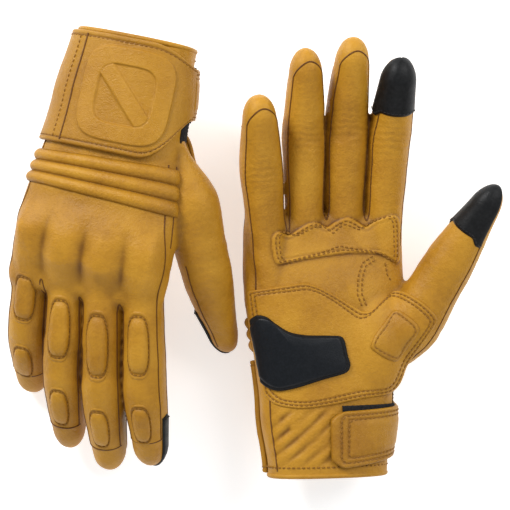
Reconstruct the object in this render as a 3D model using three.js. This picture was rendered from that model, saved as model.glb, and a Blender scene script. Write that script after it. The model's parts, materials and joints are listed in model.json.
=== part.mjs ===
// A pair of leather motorcycle riding gloves, laid side by side as they are stored:
// one palm down, one palm up. Millimetres, +Z up, origin at the bottom centre of the pair.
// Each glove is modelled in its own frame: +Y from the wrist to the fingertips, +X to the
// little finger, +Z out of the back of the hand, origin at the middle of the wrist.
import * as THREE from "three";
import { mergeVertices } from "three/addons/utils/BufferGeometryUtils.js";

// ---- Driving dimensions -------------------------------------------------------------
const CUFF_LENGTH = 39; // hem to wrist
const HAND_LENGTH = 106; // wrist to the middle finger's knuckle
const WRIST_WIDTH = 78;
const KNUCKLE_WIDTH = 95;
const BACK_RISE = 21; // height of the back of the hand above the mid plane
const PALM_RISE = 19; // depth of the palm below the mid plane
const ROOT_BACK_RISE = 13; // the same two at the row of finger roots
const ROOT_PALM_RISE = 13;
const SECTION_POWER = 2.5; // squareness of the hand's cross-section
const LEATHER = 2; // shell leather with its lining
const OVERLAY = 1.3; // leather sewn on top of the shell
const PATCH = 1.1; // touch patches, and the hook patch that fills the space under the strap
const GAP = 0.4; // clearance between neighbouring pieces
const LAY_GAP = 0.8; // clearance under an overlay, whose facets differ from the shell's
const STRAP_CLEARANCE = PATCH + 2 * GAP; // between the cuff and the flap or strap over it
const STRAP_THICKNESS = 2.2;
const STRAP_WIDTH = 30;
const FLAP_START = -41; // the closure flap along the glove, from the hem side
const FLAP_END = 28;
const RIB_START = 31; // the stretch ribs over the back of the hand
const RIB_END = 56;
const RIB_COUNT = 3;
const RIB_HEIGHT = 2.6;
const GUARD_START = 62; // the knuckle guard under the back leather
const GUARD_END = 96;
const GUARD_RISE = 6; // how far the guard lifts the leather
const GUARD_THICKNESS = 2.5;
const GUARD_CLEARANCE = 1.3; // foam between the guard and the leather over it
const SLIDER_THICKNESS = 2.6; // palm slider
const PAD_THICKNESS = 2.4; // foam pads on the fingers
const PAD_MARGIN = 7; // pad end to the joint it stays clear of
const THUMB_PAD = 18; // side of the square pad at the base of the thumb
const THUMB_BASE = 40; // the thumb's fixed part, up to its joint
const THUMB_OUTER = 70; // its outer part, from the joint to the tip
const THUMB_ROOT_Y = 36; // the middle of its root, along the glove from the wrist
const THUMB_OPENING = [14, 74]; // the opening in the side of the palm, along the glove
const THUMB_SINK = 6; // its root's depth below the mid plane
const THUMB_FREE = 30; // along the thumb, past this it is clear of the hand all round
const TOUCH_LENGTH = 24; // touch patch on the index finger and thumb

const KNUCKLE_BEND = 80; // degrees that the wedge gaps at the joints allow
const MIDDLE_BEND = 90;
const THUMB_BEND = 60;

// Each finger's root across the hand, its knuckle behind the middle finger's, its drop below
// the mid plane, its fan angle (+ towards the little finger), two lengths and its half sizes.
const FINGERS = {
  index: { x: -34.8, back: 3, drop: 1, fan: -3, near: 56, far: 50, half: 10.6, pads: 2, touch: true },
  middle: { x: -11.7, back: 0, drop: 0, fan: -1, near: 60, far: 54, half: 10.8, pads: 2 },
  ring: { x: 11.4, back: 3, drop: 1, fan: 1.5, near: 56, far: 51, half: 10.3, pads: 2 },
  little: { x: 33.2, back: 11, drop: 3.5, fan: 5, near: 44, far: 43, half: 9.4, pads: 1 },
};
const FINGER_FLATNESS = 1.06; // finger depth over its width
const TIP_TAPER = 0.84; // width near the tip over width at the root
const TIP_ROUNDING = 15; // length of the rounded fingertip
const THUMB_ROOT_HALF = 13.5;
const THUMB_TIP_HALF = 10.2;

// How each glove lies: turn in the plane, roll about its own length, and the bend of its joints.
const GLOVES = [
  {
    name: "glove1",
    palmUp: false,
    wrist: [-69, 93],
    turn: -12,
    roll: 14,
    swing: -6,
    knuckle: { index: 14, middle: 16, ring: 16, little: 18 },
    middle: { index: 16, middle: 18, ring: 20, little: 24 },
    thumb: { splay: 20, droop: 22, bend: 6 },
  },
  {
    name: "glove2",
    palmUp: true,
    wrist: [48, -81],
    turn: 1,
    roll: 9,
    swing: 0,
    knuckle: { index: 12, middle: 10, ring: 10, little: 12 },
    middle: { index: 20, middle: 18, ring: 16, little: 16 },
    thumb: { splay: 30, droop: 10, bend: 8 },
  },
];

// ---- Materials ------------------------------------------------------------------------
const finish = (color, roughness) => new THREE.MeshStandardMaterial({ color, roughness, metalness: 0 });
const leather = finish(0xc08a2c, 0.55);
const overlayLeather = finish(0xb8822a, 0.5);
const blackLeather = finish(0x14161a, 0.6);
const slider = finish(0x1a1d22, 0.45);
const moulded = finish(0x202225, 0.5);

// ---- Helpers ----------------------------------------------------------------------------
const radians = THREE.MathUtils.degToRad;
const { lerp, smoothstep } = THREE.MathUtils;

// Moves every vertex of a closed geometry by place(x, y, z), and turns its faces outwards.
function reshape(source, place) {
  const bare = new THREE.BufferGeometry().setAttribute("position", source.getAttribute("position"));
  bare.setIndex(source.index);
  const closed = mergeVertices(bare, 1e-4);
  const position = closed.getAttribute("position");
  const point = new THREE.Vector3();
  for (let i = 0; i < position.count; i++) {
    point.fromBufferAttribute(position, i);
    position.setXYZ(i, ...place(point.x, point.y, point.z));
  }
  const index = closed.index.array;
  if (signedVolume(position, index) < 0) {
    for (let i = 0; i < index.length; i += 3) {
      [index[i + 1], index[i + 2]] = [index[i + 2], index[i + 1]];
    }
  }
  return closed;
}

function signedVolume(position, index) {
  const [a, b, c] = [0, 1, 2].map(() => new THREE.Vector3());
  let volume = 0;
  for (let i = 0; i < index.length; i += 3) {
    a.fromBufferAttribute(position, index[i]);
    b.fromBufferAttribute(position, index[i + 1]);
    c.fromBufferAttribute(position, index[i + 2]);
    volume += a.dot(b.cross(c)) / 6;
  }
  return volume;
}

// A bent sheet: place(u, v, depth) with u and v from 0 to 1, depth from its outer to its inner face.
function sheet(across, along, outer, inner, place) {
  const box = new THREE.BoxGeometry(1, 1, 1, across, along, 1);
  return reshape(box, (x, y, z) => place(x + 0.5, y + 0.5, z > 0 ? outer : inner));
}

// A hollow tube: place(t, angle, depth) with t from 0 at its root to 1; a closed one ends in a
// rounded tip, where angle is null.
function tube(around, along, wall, closedTip, place) {
  const OUTER = 2;
  const INNER = 1;
  const profile = [];
  for (let i = 0; i <= along; i++) profile.push(new THREE.Vector2(OUTER, i / along));
  if (closedTip) profile.push(new THREE.Vector2(0, 2), new THREE.Vector2(0, 1.5));
  for (let i = along; i >= 0; i--) profile.push(new THREE.Vector2(INNER, i / along));
  profile.push(profile[0].clone());
  const lathe = new THREE.LatheGeometry(profile, around);
  return reshape(lathe, (x, y, z) => {
    const radius = Math.hypot(x, z);
    if (radius < 0.5) return place(1, null, y > 1.75 ? 0 : wall);
    return place(Math.min(y, 1), Math.atan2(x, z), radius > 1.5 ? 0 : wall);
  });
}

function mesh(name, geometry, material) {
  const made = new THREE.Mesh(geometry, material);
  made.name = name;
  return made;
}

// ---- The hand's surface ---------------------------------------------------------------
const power = (value) => Math.sign(value) * Math.abs(value) ** (2 / SECTION_POWER);

// A point of the hand at an angle round its section (0 little finger side, 90 back, 180 thumb
// side, 270 palm), y along the glove and a depth below the outer leather.
function handPoint(degrees, y, depth) {
  const angle = radians(degrees);
  const onBack = Math.sin(angle) >= 0;
  const halfWidth = lerp(WRIST_WIDTH, KNUCKLE_WIDTH, smoothstep(y, 0, HAND_LENGTH * 0.7)) / 2;
  const nearRoots = smoothstep(y, HAND_LENGTH * 0.6, HAND_LENGTH);
  const rise = onBack ? lerp(BACK_RISE, ROOT_BACK_RISE, nearRoots) : lerp(PALM_RISE, ROOT_PALM_RISE, nearRoots);
  return [(halfWidth - depth) * power(Math.cos(angle)), y, (rise - depth) * power(Math.sin(angle))];
}

// Where the hand's leather ends, ahead of the row of knuckles, for a place across the hand.
function handEnd(x) {
  const roots = Object.values(FINGERS);
  const reach = (finger) => HAND_LENGTH - finger.back;
  for (let i = 1; i < roots.length; i++) {
    if (x <= roots[i].x) {
      const share = smoothstep(x, roots[i - 1].x, roots[i].x);
      return lerp(reach(roots[i - 1]), reach(roots[i]), share);
    }
  }
  return reach(roots[roots.length - 1]);
}

// How far the knuckle guard lifts the back leather: four lobes across, a smooth hump along.
function guardLift(degrees, y) {
  const along = smoothstep(y, GUARD_START - 6, GUARD_START + 12) * (1 - smoothstep(y, GUARD_END - 12, GUARD_END + 4));
  const across = smoothstep(degrees, 14, 40) * (1 - smoothstep(degrees, 140, 166));
  const lobes = 0.8 + 0.2 * Math.cos(radians((degrees - 53) * (360 / 25)));
  return GUARD_RISE * along * across * lobes;
}

// ---- Pieces of the hand ------------------------------------------------------------------
const wedge = (rise, bend) => rise * Math.tan(radians(bend / 2));

function backPanel() {
  return sheet(14, 7, 0, LEATHER, (u, v, depth) => {
    const degrees = lerp(3, 177, u);
    const [x] = handPoint(degrees, HAND_LENGTH, depth);
    const y = lerp(RIB_END + GAP, handEnd(x) - 2 * GAP, v);
    return handPoint(degrees, y, depth - guardLift(degrees, y));
  });
}

function knuckleGuard() {
  const top = LEATHER + GUARD_CLEARANCE;
  return sheet(12, 4, top, top + GUARD_THICKNESS, (u, v, depth) => {
    const degrees = lerp(24, 156, u);
    const y = lerp(GUARD_START, GUARD_END - 4, v);
    return handPoint(degrees, y, depth - guardLift(degrees, y));
  });
}

// The palm leather, with the thumb's opening cut out of its side.
function palmPanel() {
  return sheet(12, 9, 0, LEATHER, (u, v, depth) => {
    const [x] = handPoint(lerp(-5, -177, u), HAND_LENGTH, depth);
    const y = lerp(GAP, handEnd(x) - 2 * GAP - wedge(ROOT_PALM_RISE, KNUCKLE_BEND), v);
    const [opens, closes] = THUMB_OPENING;
    const beside = smoothstep(y, opens - 8, opens) * (1 - smoothstep(y, closes, closes + 8));
    return handPoint(lerp(-5, lerp(-177, -148, beside), u), y, depth);
  });
}

// The wrist sleeve. Its slit on the thumb side lets the hand in, and the strap closes it.
function cuffSleeve() {
  const HALF = 9;
  return sheet(2 * HALF + 1, 3, 0, LEATHER, (u, v, depth) => {
    const place = u * (2 * HALF + 1);
    const onBack = place > HALF + 0.5;
    const degrees = onBack ? lerp(4, 177, (place - HALF - 1) / HALF) : lerp(-168, -4, place / HALF);
    return handPoint(degrees, lerp(-CUFF_LENGTH, onBack ? RIB_START - GAP : -GAP, v), depth);
  });
}

function stretchRibs() {
  return sheet(12, 4 * RIB_COUNT, 0, LEATHER, (u, v, depth) => {
    const degrees = lerp(3, 177, u);
    const onTop = smoothstep(degrees, 3, 24) * (1 - smoothstep(degrees, 150, 172));
    const ridge = Math.abs(Math.sin(Math.PI * RIB_COUNT * v)) * RIB_HEIGHT * onTop;
    return handPoint(degrees, lerp(RIB_START, RIB_END, v), depth > 0 ? depth : depth - ridge);
  });
}

const strapOuter = -(STRAP_CLEARANCE + STRAP_THICKNESS);

// The closure flap, sewn down over the back of the wrist and turning round its thumb side.
function cuffFlap() {
  return sheet(11, 4, strapOuter, -STRAP_CLEARANCE, (u, v, depth) => {
    const degrees = lerp(22, 176, u);
    const round = smoothstep(degrees, 110, 176);
    const start = lerp(FLAP_START, STRAP_START, round);
    const end = lerp(FLAP_END, STRAP_START + STRAP_WIDTH, round);
    return handPoint(degrees, lerp(start, end, v), depth);
  });
}

// The strap's free end on the palm side, rounded at its corners.
const STRAP_START = -29;
const STRAP_FIRST_ANGLE = 184;
const STRAP_LAST_ANGLE = 258;

function strapTab() {
  return sheet(10, 6, strapOuter, -STRAP_CLEARANCE, (u, v, depth) => {
    const shorter = 6 * Math.max(0, Math.abs(2 * v - 1) - 0.6) ** 2 / 0.16;
    const degrees = lerp(STRAP_FIRST_ANGLE, STRAP_LAST_ANGLE - shorter, u);
    return handPoint(degrees, STRAP_START + STRAP_WIDTH * v, depth);
  });
}

// Palm overlays are laid out by place across the hand, from -1 thumb side to 1 little finger side.
function palmDegrees(across) {
  const cosine = Math.sign(across) * Math.abs(across) ** (SECTION_POWER / 2);
  return -THREE.MathUtils.radToDeg(Math.acos(cosine));
}

function palmPatch(segments, low, high, outer, inner, yLow, yHigh) {
  return sheet(segments[0], segments[1], outer, inner, (u, v, depth) => {
    const across = lerp(low, high, u);
    return handPoint(palmDegrees(across), lerp(yLow(across), yHigh(across), v), depth);
  });
}

const overlayInner = -LAY_GAP;
const overlayOuter = overlayInner - OVERLAY;
const topInner = overlayOuter - LAY_GAP;

const heelTop = (across) => 44 + 16 * smoothstep(across, 0, 0.8) + 8 * smoothstep(-across, 0.2, 0.6);

function heelOverlay() {
  return palmPatch([16, 3], -0.84, 0.97, overlayOuter, overlayInner, () => 4, heelTop);
}

function palmSlider() {
  const low = (across) => 12 + 2 * (1 - across);
  const high = (across) => 36 + 14 * smoothstep(across, 0.1, 0.7);
  return palmPatch([8, 3], -0.18, 0.93, topInner - SLIDER_THICKNESS, topInner, low, high);
}

// The square pad at the base of the thumb, turned with its corner to the wrist.
function thumbBasePad() {
  return sheet(4, 4, topInner - PAD_THICKNESS, topInner, (u, v, depth) => {
    const right = (u - 0.5) * THUMB_PAD;
    const up = (v - 0.5) * THUMB_PAD;
    const x = -25 + (right - up) * Math.SQRT1_2;
    const y = 34 + (right + up) * Math.SQRT1_2;
    return handPoint(palmDegrees((2 * x) / KNUCKLE_WIDTH), y, depth);
  });
}

function gripOverlay() {
  const top = HAND_LENGTH - 2 * GAP - wedge(ROOT_PALM_RISE, KNUCKLE_BEND);
  const high = (across) => top - 11 * smoothstep(across, 0.2, 0.9) - 2 * smoothstep(-across, 0.2, 0.8);
  return palmPatch([12, 2], -0.84, 0.8, overlayOuter, overlayInner, () => 68, high);
}

// ---- Fingers ------------------------------------------------------------------------------
// Half width of a finger at a share of its whole length.
const fingerHalf = (finger, share) => finger.half * lerp(1, TIP_TAPER, share);

// The root part of a finger, from the knuckle to the middle joint. Both ends are cut back on
// the palm side by half of the bend that their joint allows.
function nearSleeve(finger) {
  const whole = finger.near + finger.far;
  return tube(14, 3, LEATHER, false, (t, angle, depth) => {
    const half = fingerHalf(finger, (t * finger.near) / whole) - depth;
    const z = half * FINGER_FLATNESS * Math.sin(angle);
    const below = Math.max(0, -z);
    const start = GAP + wedge(below, KNUCKLE_BEND);
    const end = finger.near - GAP - wedge(below, MIDDLE_BEND);
    return [half * Math.cos(angle), lerp(start, end, t), z];
  });
}

// A sleeve that is closed by a rounded tip. halfAt gives its half width along it, and startAt
// the place along it where each point of its root begins.
function closedSleeve(rows, reach, halfAt, startAt) {
  const ROUND_SHARE = 0.4;
  const ROUND_TURN = radians(78);
  return tube(14, rows, LEATHER, true, (t, angle, depth) => {
    if (angle === null) return [0, reach - depth, 0];
    const straight = reach - depth - TIP_ROUNDING;
    const turned = (Math.max(0, t - 1 + ROUND_SHARE) / ROUND_SHARE) * ROUND_TURN;
    const along = Math.min(1, t / (1 - ROUND_SHARE));
    const x = (half) => half * Math.cos(angle);
    const z = (half) => half * FINGER_FLATNESS * Math.sin(angle);
    const root = halfAt(0) - depth;
    const y = turned > 0 ? straight + TIP_ROUNDING * Math.sin(turned) : lerp(startAt(x(root), z(root)), straight, along);
    const half = (halfAt(y) - depth) * Math.cos(turned);
    return [x(half), y, z(half)];
  });
}

// The outer part of a finger, from the middle joint to the closed tip.
function farSleeve(finger) {
  const half = (y) => fingerHalf(finger, (finger.near + y) / (finger.near + finger.far));
  return closedSleeve(5, finger.far, half, (x, z) => GAP + wedge(Math.max(0, -z), MIDDLE_BEND));
}

// A foam pad on the back of a finger, between two places along it.
function fingerPad(finger, before, from, to) {
  const whole = finger.near + finger.far;
  return sheet(4, 3, PAD_THICKNESS + GAP, GAP, (u, v, height) => {
    const y = lerp(from, to, v);
    const half = fingerHalf(finger, (before + y) / whole) + height;
    const spread = 38 * Math.sqrt(1 - (2 * v - 1) ** 2 * 0.5);
    const angle = radians(90 + lerp(-spread, spread, u));
    return [half * Math.cos(angle), y, half * FINGER_FLATNESS * Math.sin(angle)];
  });
}

// The conductive patch over the palm side of a fingertip of that half width and reach.
function touchPatch(halfAt, reach) {
  return sheet(8, 5, PATCH + GAP, GAP, (u, v, height) => {
    const y = lerp(reach - TOUCH_LENGTH, reach - 3, v);
    const along = Math.max(0, y - (reach - TIP_ROUNDING)) / TIP_ROUNDING;
    const half = halfAt(y) * Math.sqrt(1 - along ** 2) + height;
    const angle = radians(lerp(188, 352, u));
    return [half * Math.cos(angle), y + height * along, half * FINGER_FLATNESS * Math.sin(angle)];
  });
}

// A group at a joint, turned about Z by its fan or splay and then about X by its bend.
function joint(name, place) {
  const group = new THREE.Group();
  group.name = name;
  group.position.set(...place);
  group.rotation.order = "ZXY";
  return group;
}

function makeFinger(glove, name) {
  const finger = FINGERS[name];
  const knuckle = joint(`${glove.name}_${name}_knuckle`, [finger.x, HAND_LENGTH - finger.back, -finger.drop]);
  knuckle.rotation.z = radians(-(finger.fan + glove.swing));
  knuckle.rotation.x = radians(-glove.knuckle[name]);
  const middle = joint(`${glove.name}_${name}_middle`, [0, finger.near, 0]);
  middle.rotation.x = radians(-glove.middle[name]);
  knuckle.add(middle);
  knuckle.add(mesh(`${glove.name}_${name}_near_sleeve`, nearSleeve(finger), leather));
  middle.add(mesh(`${glove.name}_${name}_far_sleeve`, farSleeve(finger), leather));
  const nearPad = fingerPad(finger, 0, PAD_MARGIN + 3, finger.near - PAD_MARGIN - 3);
  knuckle.add(mesh(`${glove.name}_${name}_near_pad`, nearPad, overlayLeather));
  if (finger.pads > 1) {
    const farPad = fingerPad(finger, finger.near, PAD_MARGIN, finger.far - TOUCH_LENGTH + 2);
    middle.add(mesh(`${glove.name}_${name}_far_pad`, farPad, overlayLeather));
  }
  if (finger.touch) {
    const whole = finger.near + finger.far;
    const patch = touchPatch((y) => fingerHalf(finger, (finger.near + y) / whole), finger.far);
    middle.add(mesh(`${glove.name}_${name}_touch_patch`, patch, blackLeather));
  }
  return knuckle;
}

// ---- Thumb ----------------------------------------------------------------------------------
// Half width of the thumb at a length along it.
const thumbHalf = (y) => lerp(THUMB_ROOT_HALF, THUMB_TIP_HALF, smoothstep(y, 0, 0.7 * (THUMB_BASE + THUMB_OUTER)));

const [thumbSide] = handPoint(180, THUMB_ROOT_Y, 0);
const [sideAhead] = handPoint(180, THUMB_OPENING[1], 0);
const SIDE_LEAN = Math.atan((thumbSide - sideAhead) / (THUMB_OPENING[1] - THUMB_ROOT_Y));

// The fixed part of the thumb. On its inner side it starts where it is clear of the hand's side.
function thumbBase(splay, droop) {
  return tube(14, 3, LEATHER, false, (t, angle, depth) => {
    const half = thumbHalf(t * THUMB_BASE) - depth;
    const x = half * Math.cos(angle);
    const z = half * FINGER_FLATNESS * Math.sin(angle);
    const beside = Math.max(0, x) / Math.tan(splay - SIDE_LEAN);
    const start = Math.min(THUMB_FREE, (beside - z * Math.sin(droop)) / Math.cos(droop) + 2 * GAP);
    return [x, lerp(start, THUMB_BASE - GAP - wedge(Math.max(0, -z), THUMB_BEND), t), z];
  });
}

function thumbSleeve() {
  const half = (y) => thumbHalf(THUMB_BASE + y);
  return closedSleeve(5, THUMB_OUTER, half, (x, z) => GAP + wedge(Math.max(0, -z), THUMB_BEND));
}

function makeThumb(glove) {
  const splay = radians(glove.thumb.splay);
  const droop = radians(glove.thumb.droop);
  const base = joint(`${glove.name}_thumb_root`, [thumbSide - 2 * GAP, THUMB_ROOT_Y, -THUMB_SINK]);
  base.rotation.z = splay;
  base.rotation.x = -droop;
  const middle = joint(`${glove.name}_thumb_middle`, [0, THUMB_BASE, 0]);
  middle.rotation.x = radians(-glove.thumb.bend);
  const patch = touchPatch((y) => thumbHalf(THUMB_BASE + y), THUMB_OUTER);
  base.add(mesh(`${glove.name}_thumb_base_sleeve`, thumbBase(splay, droop), leather));
  base.add(middle);
  middle.add(mesh(`${glove.name}_thumb_sleeve`, thumbSleeve(), leather));
  middle.add(mesh(`${glove.name}_thumb_touch_patch`, patch, blackLeather));
  return base;
}

// ---- Assembly -----------------------------------------------------------------------------
function makeGlove(glove) {
  const hand = new THREE.Group();
  const piece = (name, geometry, material) => hand.add(mesh(`${glove.name}_${name}`, geometry, material));
  piece("back_panel", backPanel(), leather);
  piece("knuckle_guard", knuckleGuard(), moulded);
  piece("palm_panel", palmPanel(), leather);
  piece("cuff_sleeve", cuffSleeve(), leather);
  piece("stretch_ribs", stretchRibs(), leather);
  piece("cuff_flap", cuffFlap(), overlayLeather);
  piece("strap_tab", strapTab(), overlayLeather);
  piece("heel_overlay", heelOverlay(), overlayLeather);
  piece("palm_slider", palmSlider(), slider);
  piece("thumb_base_pad", thumbBasePad(), overlayLeather);
  piece("grip_overlay", gripOverlay(), overlayLeather);
  const strapHinge = joint(`${glove.name}_strap_hinge`, handPoint(180, STRAP_START + STRAP_WIDTH / 2, strapOuter / 2));
  hand.add(strapHinge);
  for (const name of Object.keys(FINGERS)) hand.add(makeFinger(glove, name));
  hand.add(makeThumb(glove));
  return hand;
}

// Lays a glove on the surface: rolled about its own length, turned over if its palm is up,
// turned in the plane, and set down so that its lowest point touches.
function layDown(glove) {
  const rolled = makeGlove(glove);
  rolled.rotation.y = radians(glove.roll);
  const turned = new THREE.Group();
  turned.rotation.order = "ZYX";
  turned.rotation.set(0, radians(glove.palmUp ? 180 : 0), radians((glove.palmUp ? 0 : 180) + glove.turn));
  turned.position.set(...glove.wrist, 0);
  turned.add(rolled);
  turned.position.z = -new THREE.Box3().setFromObject(turned, true).min.z;
  return turned;
}

const gloves = new THREE.Group();
for (const glove of GLOVES) gloves.add(layDown(glove));
const middleOfPair = new THREE.Box3().setFromObject(gloves, true).getCenter(new THREE.Vector3());
gloves.position.set(-middleOfPair.x, -middleOfPair.y, 0);

export default gloves;
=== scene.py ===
"""A pair of leather riding gloves, one palm down and one palm up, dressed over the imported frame.

Every glove is shaped in its own frame in millimetres: +Y from the wrist to the fingertips,
+X to the little finger, +Z out of the back of the hand. The last step of each piece puts its
mesh where the frame has the glove, in metres.
"""
import json

import bpy
import numpy as np
from mathutils import Matrix, Vector


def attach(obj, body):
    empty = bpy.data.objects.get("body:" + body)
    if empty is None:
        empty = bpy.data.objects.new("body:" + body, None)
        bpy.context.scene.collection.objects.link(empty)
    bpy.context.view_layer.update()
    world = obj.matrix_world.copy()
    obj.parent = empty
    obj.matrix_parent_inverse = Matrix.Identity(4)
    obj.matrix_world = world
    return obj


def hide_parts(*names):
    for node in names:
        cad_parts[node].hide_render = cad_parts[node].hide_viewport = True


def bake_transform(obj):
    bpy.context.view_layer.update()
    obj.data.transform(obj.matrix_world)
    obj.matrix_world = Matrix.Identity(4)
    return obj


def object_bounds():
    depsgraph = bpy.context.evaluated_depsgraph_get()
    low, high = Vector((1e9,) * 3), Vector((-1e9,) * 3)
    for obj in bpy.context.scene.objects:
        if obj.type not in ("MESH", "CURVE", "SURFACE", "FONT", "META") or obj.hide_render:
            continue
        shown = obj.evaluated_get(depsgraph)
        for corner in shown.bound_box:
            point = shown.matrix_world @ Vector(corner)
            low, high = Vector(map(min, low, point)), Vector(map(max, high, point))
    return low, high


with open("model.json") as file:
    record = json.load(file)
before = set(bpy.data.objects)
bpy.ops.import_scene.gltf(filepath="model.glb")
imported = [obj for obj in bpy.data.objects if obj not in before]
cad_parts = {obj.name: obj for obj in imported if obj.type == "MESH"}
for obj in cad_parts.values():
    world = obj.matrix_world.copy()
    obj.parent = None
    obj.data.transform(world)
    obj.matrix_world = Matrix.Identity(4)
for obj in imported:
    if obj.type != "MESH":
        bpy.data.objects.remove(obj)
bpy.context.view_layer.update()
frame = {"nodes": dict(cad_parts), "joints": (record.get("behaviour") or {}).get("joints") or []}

# ---- Sizes, in millimetres ------------------------------------------------------------
CUFF_LENGTH = 39
HAND_LENGTH = 106
WRIST_WIDTH = 78
HEM_WIDTH = 70
KNUCKLE_WIDTH = 95
BACK_RISE = 20.5
PALM_RISE = 19
ROOT_BACK_RISE = 12.5
ROOT_PALM_RISE = 12.5
SECTION_POWER = 2.4
GUARD_RISE = 8.5
VOXEL = 0.85
TIP_ROUNDING = 13
CUT_BEFORE_HINGE = 9
THUMB_BASE = 40
THUMB_OUTER = 70
THUMB_ROOT = np.array([-(39 + 8.5 * 0.4755) - 0.8, 36.0, -6.0])

FINGERS = {
    "index": dict(x=-34.8, back=3, drop=1, fan=-3, near=56, far=50, half=10.9, pads=2),
    "middle": dict(x=-11.7, back=0, drop=0, fan=-1, near=60, far=54, half=11.1, pads=2),
    "ring": dict(x=11.4, back=3, drop=1, fan=1.5, near=56, far=54, half=10.8, pads=2),
    "little": dict(x=34.0, back=11, drop=3.5, fan=5.5, near=44, far=48, half=11.0, pads=2),
}
GLOVES = [
    dict(name="glove1", palm_up=False, turn=-12, roll=14, swing=-6, seed=3,
         knuckle=dict(index=14, middle=16, ring=16, little=18),
         middle=dict(index=16, middle=18, ring=20, little=24),
         thumb=dict(splay=20, droop=22, bend=6)),
    dict(name="glove2", palm_up=True, turn=1, roll=9, swing=0, seed=8,
         knuckle=dict(index=12, middle=10, ring=10, little=12),
         middle=dict(index=20, middle=18, ring=16, little=16),
         thumb=dict(splay=30, droop=10, bend=8)),
]


# ---- Small maths -----------------------------------------------------------------------
def ease(x, low, high):
    """0 before low, 1 after high, and the smooth cubic 3t^2 - 2t^3 between them."""
    t = np.clip((np.asarray(x, float) - low) / (high - low), 0, 1)
    return t * t * (3 - 2 * t)


def mix(a, b, t):
    return a + (b - a) * t


def signed_power(value, power):
    return np.sign(value) * np.abs(value) ** power


def turning(axis, degrees):
    """A 4 by 4 turn about one axis, 0 for X, 1 for Y, 2 for Z."""
    return np.array(Matrix.Rotation(np.radians(degrees), 4, "XYZ"[axis]))


def moving(x, y, z):
    return np.array(Matrix.Translation((x, y, z)))


def carried(matrix, points):
    """The points, an array ending in three coordinates, moved by a 4 by 4 matrix."""
    return points @ matrix[:3, :3].T + matrix[:3, 3]


def unit(v):
    return v / np.maximum(np.linalg.norm(v, axis=-1, keepdims=True), 1e-9)


def ramble(points, seed, size):
    """A soft random-looking field from -1 to 1: a sum of sine waves of about that size in
    mixed directions, each bent by the one before it."""
    rng = np.random.default_rng(seed)
    total = np.zeros(points.shape[:-1])
    for _ in range(6):
        direction = rng.normal(size=3)
        direction *= 2 * np.pi / (size * rng.uniform(0.7, 1.6) * np.linalg.norm(direction))
        total = total + np.sin(points @ direction + rng.uniform(0, 6.3) + 0.9 * total)
    return total / 6


# ---- Frames of a glove -------------------------------------------------------------------
JOINTS = {joint["name"]: joint for joint in frame["joints"]}


def glove_frame(glove):
    """The glove's place in the row frame: its roll, its turn over, its turn in the plane, and
    the shift that puts its index knuckle on the frame's hinge."""
    palm_up = glove["palm_up"]
    turned = turning(2, (0 if palm_up else 180) + glove["turn"])
    matrix = turned @ turning(1, 180 if palm_up else 0) @ turning(1, glove["roll"])
    finger = FINGERS["index"]
    local = np.array([finger["x"], HAND_LENGTH - finger["back"], -finger["drop"]])
    at = np.array(JOINTS[glove["name"] + "_index_knuckle"]["pos_m"]) * 1000
    matrix[:3, 3] = at - matrix[:3, :3] @ local
    return matrix


def finger_frames(glove, name):
    """The straight frame at the knuckle, the bent one there, and the one at the middle joint."""
    finger = FINGERS[name]
    straight = moving(finger["x"], HAND_LENGTH - finger["back"], -finger["drop"])
    straight = straight @ turning(2, -(finger["fan"] + glove["swing"]))
    knuckle = straight @ turning(0, -glove["knuckle"][name])
    middle = knuckle @ moving(0, finger["near"], 0) @ turning(0, -glove["middle"][name])
    return straight, knuckle, middle


def thumb_frames(glove):
    """The frame at the thumb's root, the straight one at its joint, and the bent one there."""
    thumb = glove["thumb"]
    root = moving(*THUMB_ROOT) @ turning(2, thumb["splay"]) @ turning(0, -thumb["droop"])
    straight = root @ moving(0, THUMB_BASE, 0)
    return root, straight, straight @ turning(0, -thumb["bend"])


# ---- Surfaces of the hand and the digits -----------------------------------------------------
def hand_point(degrees, y, height):
    """A point of the hand: a superellipse section, 0 little finger side, 90 back, 180 thumb
    side, 270 palm, whose half width and rises change along y, grown by height."""
    angle = np.radians(degrees)
    y = np.asarray(y, float)
    half = np.where(y < 0, mix(WRIST_WIDTH, HEM_WIDTH, ease(-y, 0, CUFF_LENGTH)),
                    mix(WRIST_WIDTH, KNUCKLE_WIDTH, ease(y, 0, HAND_LENGTH * 0.7))) / 2
    near_roots = ease(y, HAND_LENGTH * 0.6, HAND_LENGTH)
    back = mix(BACK_RISE, ROOT_BACK_RISE, near_roots)
    palm = mix(PALM_RISE, ROOT_PALM_RISE, near_roots)
    rise = np.where(np.sin(angle) >= 0, back, palm)
    x = (half + height) * signed_power(np.cos(angle), 2 / SECTION_POWER)
    z = (rise + height) * signed_power(np.sin(angle), 2 / SECTION_POWER)
    return np.stack(np.broadcast_arrays(x, y, z), -1)


def bent_path(s, bends):
    """Points and lean of a path in the YZ plane that starts along +Y and leans by each of the
    bends, given as (place, degrees, softness): the lean is summed, then integrated along s."""
    lean = np.zeros_like(s)
    for place, degrees, soft in bends:
        lean += np.radians(degrees) * ease(s, place - soft, place + soft)
    step = np.diff(s, prepend=s[0])
    halfway = np.concatenate([lean[:1], (lean[1:] + lean[:-1]) / 2])
    y = s[0] + np.cumsum(np.cos(halfway) * step)
    z = -np.cumsum(np.sin(halfway) * step)
    return y, z, lean


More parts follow.
